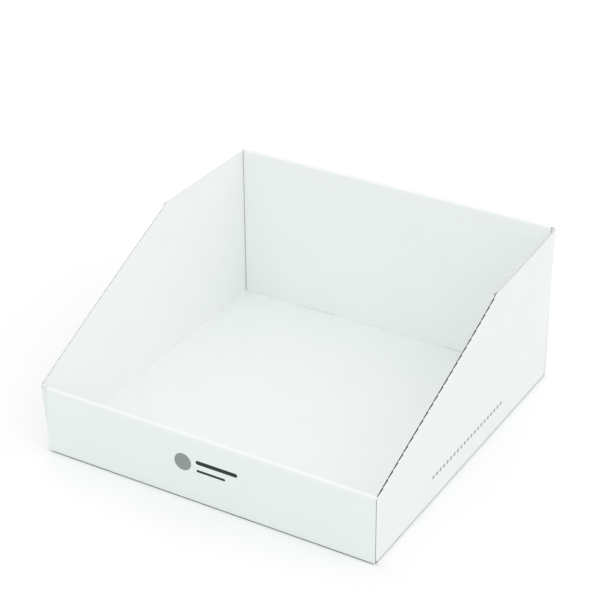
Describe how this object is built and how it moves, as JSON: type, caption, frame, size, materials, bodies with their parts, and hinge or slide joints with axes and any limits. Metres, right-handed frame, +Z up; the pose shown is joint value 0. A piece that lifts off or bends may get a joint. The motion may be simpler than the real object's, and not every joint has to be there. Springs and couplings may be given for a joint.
{
  "type": "counter display box",
  "caption": "Open counter display box folded from one sheet of white board: low rolled front wall, high rolled back wall and side walls with slanted, torn perforated edges.",
  "frame": {"origin": "under the middle of the base, on the surface it stands on", "axes": "+X to the right seen from the front, +Y from the low front wall to the high back wall, +Z up"},
  "size_m": [0.3636, 0.355, 0.168],
  "materials": {
    "white_board": "matt white clay-coated liner on fine-flute board"
  },
  "bodies": {
    "root": {"display_tray": "white_board"}
  },
  "joints": []
}
